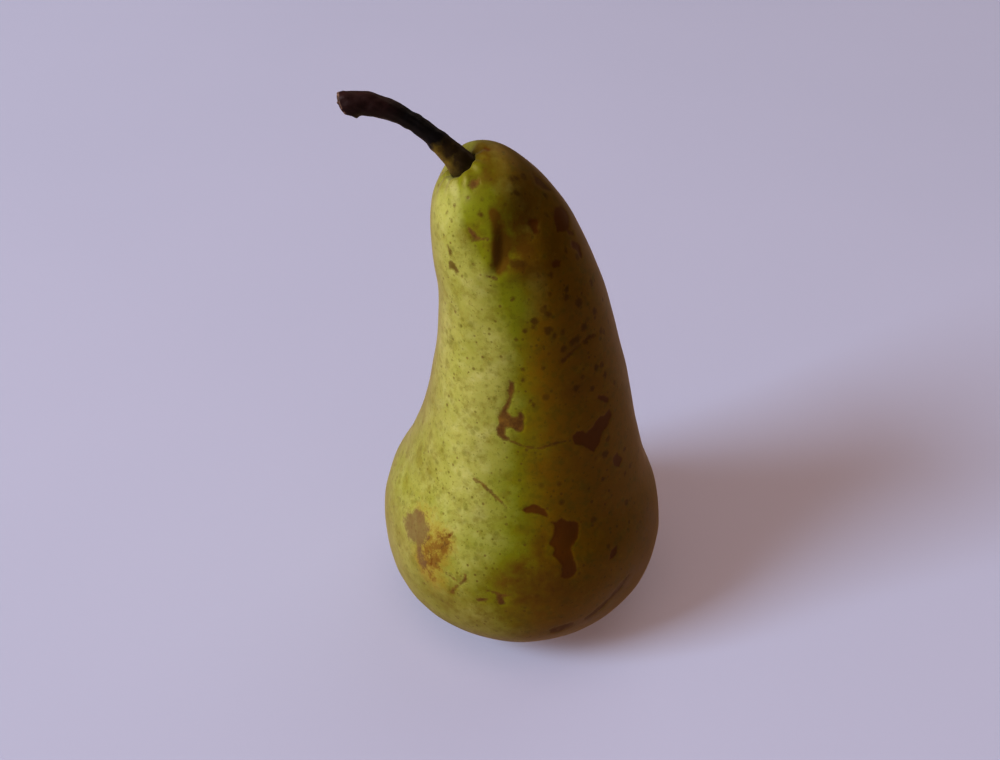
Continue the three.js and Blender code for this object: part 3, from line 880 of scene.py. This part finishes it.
def ragged_group():
    """A mark's mask: its depth in mm is pushed in and out by noise, then cut with an edge of Softness mm."""
    inputs = {"Place": 0, "Depth": 0.0, "Ragged": 0.5, "Scale": 900.0, "Softness": 0.15}
    tree, given, out = group("ragged_mark", inputs, ["Mask"])
    uneven = maths(tree, "SUBTRACT", noise(tree, given["Place"], given["Scale"], 4.0, 0.65), 0.5)
    shift = times(tree, uneven, times(tree, given["Ragged"], 4.0))
    depth = maths(tree, "ADD", given["Depth"], shift)
    mask = maths(tree, "DIVIDE", depth, given["Softness"])
    feed(tree, out["Mask"], maths(tree, "ADD", mask, 0.5, clamp=True))
    return tree


def new_material(name, colour):
    """A material with its Principled shader; the colour is also its plain viewport colour."""
    made = bpy.data.materials.new(name)
    made.use_nodes = True
    made.diffuse_color = (*colour, 1.0)
    return made, made.node_tree, made.node_tree.nodes["Principled BSDF"]


# ---------------------------------------------------------------------------------------------- materials
CREAM = (0.500, 0.490, 0.210, 1)
PALE_YELLOW = (0.400, 0.392, 0.118, 1)
LEAF_GREEN = (0.205, 0.224, 0.008, 1)
# brown of the side turned away from the window: partly the skin's own colour, partly painted shade
BLUSH_SHADE_BROWN = (0.232, 0.138, 0.002, 1)
OLIVE_GOLD = (0.285, 0.205, 0.004, 1)
DULL_OLIVE = (0.156, 0.124, 0.006, 1)
DARK_GREEN = (0.115, 0.112, 0.006, 1)
PORE_BROWN = (0.092, 0.043, 0.005, 1)
SCAR_BROWN = (0.110, 0.046, 0.012, 1)
SCAR_PALE = (0.215, 0.112, 0.022, 1)
RUB_BROWN = (0.160, 0.092, 0.042, 1)
BRUISE_RED = (0.125, 0.040, 0.004, 1)
# brown for stains and for painted shade
STAIN_AND_SHADE_BROWN = (0.135, 0.064, 0.005, 1)
RUST_ORANGE = (0.180, 0.082, 0.012, 1)
RUST_YELLOW = (0.340, 0.235, 0.030, 1)
# grey for dust and for painted sheen of the floor
DUST_AND_SHEEN_GREY = (0.240, 0.185, 0.150, 1)
# painted shade and sheen at the skin's edges where it turns away
LIMB_SHADE_SHEEN, LIMB_SHADE_SHEEN_SHARE = (0.200, 0.165, 0.075, 1), 0.65
WAX_GLOSS, WAX_TINT = 0.17, (1.0, 0.84, 0.50, 1)
BARK_GLOSS = 0.25
BROAD, CLOUDY, FINE, GRAIN = 60.0, 210.0, 800.0, 2600.0  # how many features of each noise fit in a metre


def mark(tree, place, ragged, name, raggedness, scale, softness):
    """The mask of the marks whose depth is in a field, made ragged by noise, with an edge of softness mm."""
    edge = {"Ragged": raggedness, "Scale": scale, "Softness": softness}
    return use(tree, ragged, Place=place, Depth=field(tree, name), **edge)["Mask"]


def skin_ground(tree, place, broad, cloud, fine, blush_and_shade):
    """The skin's colour without its marks: yellow, green and brown with cloudy borders, blotched and
    flecked. The brown side, turned away from the window, is partly the skin's own brown and partly
    painted shade, and the green down the front and on the low belly is partly painted shade."""
    cloudy = times(tree, ramp(tree, cloud, 0.38, 0.66), 0.22)
    green = scaled(tree, ramp(tree, broad, 0.38, 0.72), 0.45, cloudy)
    # the green field is partly painted shade on the front and the low belly
    green = maths(tree, "ADD", green, times(tree, field(tree, "green"), 0.5), clamp=True)
    cream = times(tree, clouds(tree, place, 290.0, 0.48, 0.70), 0.6)
    colour = blend(tree, green, blend(tree, cream, PALE_YELLOW, CREAM), LEAF_GREEN)
    # painted shade: the brown mask follows the side turned away from the window, partly the skin's own brown
    drift = scaled(tree, maths(tree, "SUBTRACT", broad, 0.5), 0.9, blush_and_shade)
    drift = scaled(tree, maths(tree, "SUBTRACT", cloud, 0.5), 0.7, drift)
    brown = ramp(tree, drift, 0.15, 0.85)
    colour = blend(tree, brown, colour, BLUSH_SHADE_BROWN)
    blotches = clouds(tree, place, 330.0, 0.50, 0.68, roughness=0.65)
    blotches = times(tree, blotches, scaled(tree, blush_and_shade, 0.25, 0.45))
    colour = blend(tree, blotches, colour, DULL_OLIVE)
    yellow = times(tree, clouds(tree, place, 410.0, 0.52, 0.70), blush_and_shade)
    colour = cover(tree, colour, yellow, OLIVE_GOLD, 0.4)
    colour = cover(tree, colour, ramp(tree, fine, 0.52, 0.78), DARK_GREEN, 0.35)
    flecks = clouds(tree, place, 1700.0, 0.64, 0.70, 2.0, 0.5)
    return cover(tree, colour, flecks, DARK_GREEN, 0.45)


def skin_pores(tree, place, specks, blush_and_shade, colour):
    """Dark green rings round fine green to brown pores, and larger brown ones, most of them on the brown
    side. Returns the colour and the fine pores' mask."""
    halo = use(tree, specks, Place=place, Scale=480.0, Size=0.40, Share=0.75)
    colour = cover(tree, colour, halo["Mask"], DARK_GREEN, 0.30)
    pores = use(tree, specks, Place=place, Scale=620.0, Size=0.27, Share=0.75)
    pore_colour = blend(tree, pores["Random"], DARK_GREEN, SCAR_BROWN)
    colour = cover(tree, colour, pores["Mask"], pore_colour, 0.55)
    big = use(tree, specks, Place=place, Scale=250.0, Size=0.24, Share=0.6)
    big_mask = times(tree, big["Mask"], scaled(tree, blush_and_shade, 0.45, 0.12))
    return blend(tree, big_mask, colour, PORE_BROWN), pores["Mask"]


def skin_stains(tree, place, ragged, cloud, colour):
    """Soft brown stains, with painted shade among them, rust with pits in it, and rubbed skin. Returns
    the colour and the rubbed skin's mask."""
    uneven = scaled(tree, ramp(tree, cloud, 0.35, 0.65), 0.7, 0.35)
    # this field holds stains and painted shade alike
    stain_and_shade = times(tree, field(tree, "stain_and_shade"), uneven, clamp=True)
    colour = cover(tree, colour, stain_and_shade, STAIN_AND_SHADE_BROWN, 0.92)
    rust = field(tree, "rust")
    speckled = noise(tree, place, 560.0, 6.0, 0.75)
    around = ramp(tree, scaled(tree, rust, 0.60, speckled), 0.58, 0.92)
    colour = cover(tree, colour, around, RUST_YELLOW, 0.55)
    rust_cut = ramp(tree, scaled(tree, rust, 0.46, speckled), 0.80, 0.98)
    colour = cover(tree, colour, rust_cut, RUST_ORANGE, 0.8)
    pits = times(tree, clouds(tree, place, 760.0, 0.56, 0.66, roughness=0.65), rust)
    colour = cover(tree, colour, pits, SCAR_BROWN, 0.7)
    rub = mark(tree, place, ragged, "rub", 1.3, 560.0, 1.2)
    return cover(tree, colour, rub, RUB_BROWN, scaled(tree, speckled, 0.5, 0.5)), rub


def skin_marks(tree, place, ragged, colour):
    """Dark spots, pale brown scars and flat red-brown bruises. Returns the colour and the scars' mask."""
    spot = mark(tree, place, ragged, "spot", 0.4, 1100.0, 0.6)
    colour = cover(tree, colour, spot, PORE_BROWN, 0.75)
    scar = mark(tree, place, ragged, "scar", 0.35, 900.0, 0.35)
    pale = clouds(tree, place, 420.0, 0.45, 0.72, 5.0, 0.7)
    middle = scaled(tree, ramp(tree, field(tree, "scar"), 0.10, 0.50), 0.36, 0.58)
    colour = cover(tree, colour, scar, blend(tree, pale, SCAR_BROWN, SCAR_PALE), middle)
    bruise = mark(tree, place, ragged, "bruise", 0.3, 520.0, 0.45)
    return cover(tree, colour, bruise, BRUISE_RED, 0.9), scar


def skin_russet(tree, place, colour):
    """Russet round the stalk and in the calyx basin. Returns the colour and the basin's mask."""
    russet = clouds(tree, place, 430.0, 0.35, 0.62, 5.0, 0.7)
    crown = times(tree, field(tree, "crown"), russet)
    colour = cover(tree, colour, crown, STAIN_AND_SHADE_BROWN, 0.45)
    basin = times(tree, field(tree, "basin"), russet)
    return cover(tree, colour, basin, RUB_BROWN, 0.8), basin


def skin_material(specks, ragged):
    """Pear skin: its ground colours and marks under painted shade and sheen where it turns away, waxy,
    with scars and the basin duller and corky."""
    made, tree, shader = new_material("pear_skin", PALE_YELLOW[:3])
    place = place_on_object(tree)
    broad = noise(tree, place, BROAD, 3.0, 0.5)
    cloud = noise(tree, place, CLOUDY, 5.0, 0.6)
    fine = noise(tree, place, FINE, 4.0, 0.6)
    blush_and_shade = field(tree, "blush_and_shade")
    colour = skin_ground(tree, place, broad, cloud, fine, blush_and_shade)
    colour, pores = skin_pores(tree, place, specks, blush_and_shade, colour)
    colour, rub = skin_stains(tree, place, ragged, cloud, colour)
    colour, scar = skin_marks(tree, place, ragged, colour)
    colour, basin = skin_russet(tree, place, colour)

    # painted shade and sheen grey the skin where it turns away, darker on the lit edge and paler on the
    # shaded one, and a grey dusting, partly painted sheen from the floor, lies low on the front and right
    away = tree.nodes.new("ShaderNodeLayerWeight").outputs["Facing"]
    colour = cover(tree, colour, ramp(tree, away, 0.40, 1.0), LIMB_SHADE_SHEEN, LIMB_SHADE_SHEEN_SHARE)
    # partly dust, partly painted sheen of the floor, low on the front and right
    dust_and_sheen_mask = times(tree, field(tree, "dust_and_sheen"), ramp(tree, cloud, 0.35, 0.60))
    colour = blend(tree, dust_and_sheen_mask, colour, DUST_AND_SHEEN_GREY)
    feed(tree, shader.inputs["Base Color"], colour)

    dull = maths(tree, "MAXIMUM", maths(tree, "MAXIMUM", scar, rub), basin)
    gloss = scaled(tree, cloud, 0.18, 0.30)
    feed(tree, shader.inputs["Roughness"], scaled(tree, dull, 0.25, gloss))
    shader.inputs["Specular IOR Level"].default_value = WAX_GLOSS
    shader.inputs["Specular Tint"].default_value = WAX_TINT

    # fine grain, pores as tiny pits, and cork
    height = scaled(tree, noise(tree, place, GRAIN, 3.0), 0.25, times(tree, fine, 0.4))
    height = maths(tree, "SUBTRACT", height, times(tree, pores, 0.5))
    cork = times(tree, dull, noise(tree, place, 1900.0, 4.0, 0.7))
    height = scaled(tree, cork, 1.6, height)
    bump(tree, shader, height, 0.4, 0.0001)
    return made


STALK_OLIVE = (0.165, 0.120, 0.012, 1)
STALK_BROWN = (0.045, 0.026, 0.005, 1)
STALK_BLACK = (0.0045, 0.0030, 0.0042, 1)
# red of the stalk's upper side: partly its own colour, partly painted highlight
STALK_RED_AND_HIGHLIGHT = (0.034, 0.0085, 0.0080, 1)
STALK_GREY = (0.060, 0.040, 0.032, 1)
WOOD_DARK, WOOD_PALE = (0.040, 0.016, 0.011, 1), (0.24, 0.145, 0.105, 1)


def stalk_material(specks):
    """Stalk bark: olive at the foot, nearly black along the middle, red-brown above the pale broken end."""
    made, tree, shader = new_material("stalk_bark", STALK_BROWN[:3])
    place = place_on_object(tree)
    along = field(tree, "along")
    grain = noise(tree, place, 900.0, 5.0, 0.7)
    patch = noise(tree, place, 330.0, 4.0, 0.6)
    wander = scaled(tree, maths(tree, "SUBTRACT", patch, 0.5), 0.16, along)
    upper = field(tree, "upper")
    # partly painted shade: near the foot the upper side, turned away from the window, is browner and the
    # lower side olive
    browned_and_shaded = ramp(tree, scaled(tree, upper, 0.45, patch), 0.58, 0.82)
    foot = blend(tree, browned_and_shaded, STALK_OLIVE, STALK_BROWN)
    foot = blend(tree, ramp(tree, wander, 0.17, 0.06), foot, STALK_BROWN)
    colour = blend(tree, ramp(tree, wander, 0.285, 0.335), foot, STALK_BLACK)
    # partly painted highlight: the red is strongest on the upper side, where the light falls near the end
    red = times(tree, ramp(tree, wander, 0.58, 0.74), scaled(tree, upper, 0.6, 0.4))
    colour = blend(tree, red, colour, STALK_RED_AND_HIGHLIGHT)
    colour = cover(tree, colour, ramp(tree, grain, 0.56, 0.8), STALK_GREY, 0.30)
    flecks = use(tree, specks, Place=place, Scale=330.0, Size=0.20, Share=0.16)["Mask"]
    colour = cover(tree, colour, flecks, WOOD_PALE, 0.55)
    wood = blend(tree, clouds(tree, place, 1300.0, 0.38, 0.62, roughness=0.7), WOOD_DARK, WOOD_PALE)
    torn = ramp(tree, scaled(tree, grain, 0.6, field(tree, "broken")), 0.62, 0.92)
    colour = blend(tree, torn, colour, wood)
    feed(tree, shader.inputs["Base Color"], colour)
    feed(tree, shader.inputs["Roughness"], scaled(tree, grain, 0.3, 0.38))
    shader.inputs["Specular IOR Level"].default_value = BARK_GLOSS
    height = scaled(tree, noise(tree, place, GRAIN, 4.0, 0.7), 0.5, grain)
    bump(tree, shader, height, 0.5, 0.0002)
    return made


DRY_BROWN, DRY_DARK = (0.150, 0.095, 0.045, 1), (0.040, 0.022, 0.014, 1)
DRY_PALE, DRY_FLECK = (0.30, 0.215, 0.13, 1), (0.02, 0.012, 0.008, 1)
DRY_PLAIN, FLOOR_PLAIN = (0.12, 0.08, 0.05), (0.6, 0.6, 0.7)


def calyx_material(specks):
    """Dried sepals and stamens: dull brown, darker towards the tip, with paler grain."""
    made, tree, shader = new_material("dry_calyx", DRY_PLAIN)
    place = place_on_object(tree)
    grain = noise(tree, place, 1300.0, 5.0, 0.7)
    colour = blend(tree, field(tree, "along"), DRY_BROWN, DRY_DARK)
    colour = cover(tree, colour, ramp(tree, grain, 0.45, 0.75), DRY_PALE, 0.6)
    flecks = use(tree, specks, Place=place, Scale=1500.0, Size=0.25, Share=0.4)["Mask"]
    colour = cover(tree, colour, flecks, DRY_FLECK, 0.5)
    feed(tree, shader.inputs["Base Color"], colour)
    feed(tree, shader.inputs["Roughness"], scaled(tree, grain, 0.2, 0.7))
    bump(tree, shader, grain, 0.6, 0.0002)
    return made


# ------------------------------------------------------------------------------- floor, lights and camera
FLOOR_HALF = 0.8  # half the floor's width, in metres
FLOOR_ROUGHNESS, FLOOR_GLOSS = 0.9, 0.05
FLOOR_DARKER, FLOOR_PALER = (0.222, 0.294, 0.433, 1), (0.235, 0.308, 0.453, 1)
FLOOR_BOUNCE = (0.250, 0.235, 0.245, 1)  # the colour that the floor throws back on to the pear
AIM = np.array([-0.0039, 0.0, 0.066])  # the point that the camera and the lamps look at, in metres
CAMERA_DISTANCE = 0.3009
CAMERA_ELEVATION = math.radians(38)
LENS, FILM_WIDTH = 46.8, 36.0
CONTRAST = 0.8  # display gamma: below 1 deepens the shadows
DAYLIGHT, WARM, AMBER = (0.96, 0.97, 1.0), (1.0, 0.80, 0.66), (1.0, 0.53, 0.36)
ROOM_GLOW, ROOM_STRENGTH = (1.0, 0.68, 0.52, 1), 0.10
LAMP_DISTANCE = 3.0  # metres from the pear
BACKDROP = (0.46, 0.42, 0.56, 1)


def floor():
    """A wide pale floor under the pear, which is clear from below so that the underside can be looked at."""
    made, tree, shader = new_material("pale_floor", FLOOR_PLAIN)
    place = place_on_object(tree)
    colour = blend(tree, noise(tree, place, 6.0, 2.0), FLOOR_DARKER, FLOOR_PALER)
    seen = tree.nodes.new("ShaderNodeLightPath").outputs["Is Camera Ray"]
    feed(tree, shader.inputs["Base Color"], blend(tree, seen, FLOOR_BOUNCE, colour))
    shader.inputs["Roughness"].default_value = FLOOR_ROUGHNESS
    shader.inputs["Specular IOR Level"].default_value = FLOOR_GLOSS
    sides = tree.nodes.new("ShaderNodeMixShader")
    feed(tree, sides.inputs[0], tree.nodes.new("ShaderNodeNewGeometry").outputs["Backfacing"])
    feed(tree, sides.inputs[1], shader.outputs[0])
    feed(tree, sides.inputs[2], tree.nodes.new("ShaderNodeBsdfTransparent").outputs[0])
    feed(tree, tree.nodes["Material Output"].inputs["Surface"], sides.outputs[0])
    mesh = bpy.data.meshes.new("floor")
    corners = [(x * FLOOR_HALF, y * FLOOR_HALF, 0) for x, y in [(-1, -1), (1, -1), (1, 1), (-1, 1)]]
    mesh.from_pydata(corners, [], [(0, 1, 2, 3)])
    mesh.materials.append(made)
    thing = bpy.data.objects.new("floor", mesh)
    bpy.context.scene.collection.objects.link(thing)
    return thing


def area_light(name, azimuth, elevation, distance, size, power, colour):
    """A square lamp that looks at the pear. Azimuth 0 is at the front, and 90 at the pear's right."""
    data = bpy.data.lights.new(name, "AREA")
    data.shape, data.size, data.energy, data.color = "SQUARE", size, power, colour
    lamp = bpy.data.objects.new(name, data)
    turn, rise = math.radians(azimuth), math.radians(elevation)
    away = Vector((math.sin(turn) * math.cos(rise), -math.cos(turn) * math.cos(rise), math.sin(rise)))
    lamp.location = Vector(AIM) + away * distance
    lamp.rotation_mode = "QUATERNION"
    lamp.rotation_quaternion = away.to_track_quat("Z", "Y")
    bpy.context.scene.collection.objects.link(lamp)
    return lamp


def share_light(lamp, ground, state):
    """Lets a lamp light only the ground, with INCLUDE, or all but the ground, with EXCLUDE."""
    lit = bpy.data.collections.new(f"{lamp.name}_lights")
    lit.objects.link(ground)
    lit.collection_objects[0].light_linking.link_state = state
    lamp.light_linking.receiver_collection = lit
    return lit


def lamps(ground):
    """A large soft window on the left, with a second lamp for its light on the ground, a warm fill that
    reaches the ground past the pear, and a weak fill from behind."""
    window = area_light("window", -77, 33, LAMP_DISTANCE, 1.3, 145.0, DAYLIGHT)
    share_light(window, ground, "EXCLUDE")
    on_floor = area_light("window_on_floor", -66, 34, LAMP_DISTANCE + 1, 1.5, 250.0, DAYLIGHT)
    share_light(on_floor, ground, "INCLUDE")
    floor_fill = area_light("floor_fill", -40, 66, LAMP_DISTANCE, 3.2, 188.0, AMBER)
    floor_fill.light_linking.blocker_collection = share_light(floor_fill, ground, "INCLUDE")
    area_light("back_fill", 150, 45, LAMP_DISTANCE, 2.5, 25.0, WARM)


def world():
    """A dim warm room as fill, seen by the camera as a pale backdrop."""
    made = bpy.data.worlds.new("room")
    made.use_nodes = True
    tree = made.node_tree
    fill = tree.nodes["Background"]
    fill.inputs["Color"].default_value = ROOM_GLOW
    fill.inputs["Strength"].default_value = ROOM_STRENGTH
    seen = add(tree, "ShaderNodeBackground", None, Color=BACKDROP, Strength=1.0)
    which = tree.nodes.new("ShaderNodeMixShader")
    feed(tree, which.inputs[0], tree.nodes.new("ShaderNodeLightPath").outputs["Is Camera Ray"])
    feed(tree, which.inputs[1], fill.outputs[0])
    feed(tree, which.inputs[2], seen.outputs[0])
    feed(tree, tree.nodes["World Output"].inputs["Surface"], which.outputs[0])
    bpy.context.scene.world = made


def camera():
    """A normal lens at arm's length, looking along +Y and down on the pear."""
    data = bpy.data.cameras.new("camera")
    data.lens, data.sensor_width = LENS, FILM_WIDTH
    thing = bpy.data.objects.new("camera", data)
    back = np.array([0.0, -math.cos(CAMERA_ELEVATION), math.sin(CAMERA_ELEVATION)])
    thing.location = AIM + back * CAMERA_DISTANCE
    thing.rotation_euler = (math.pi / 2 - CAMERA_ELEVATION, 0, 0)
    bpy.context.scene.collection.objects.link(thing)
    bpy.context.scene.camera = thing


camera()
specks, ragged = specks_group(), ragged_group()
calyx = calyx_material(specks)
fruit_place = skin_piece(skin_material(specks, ragged))
stalk_piece(fruit_place, stalk_material(specks))
for index in range(SEPAL_COUNT):
    sepal_piece(index, fruit_place, calyx)
stamen_piece(fruit_place, calyx)
lamps(floor())
world()
display = bpy.context.scene.view_settings
display.view_transform, display.gamma = "Standard", CONTRAST
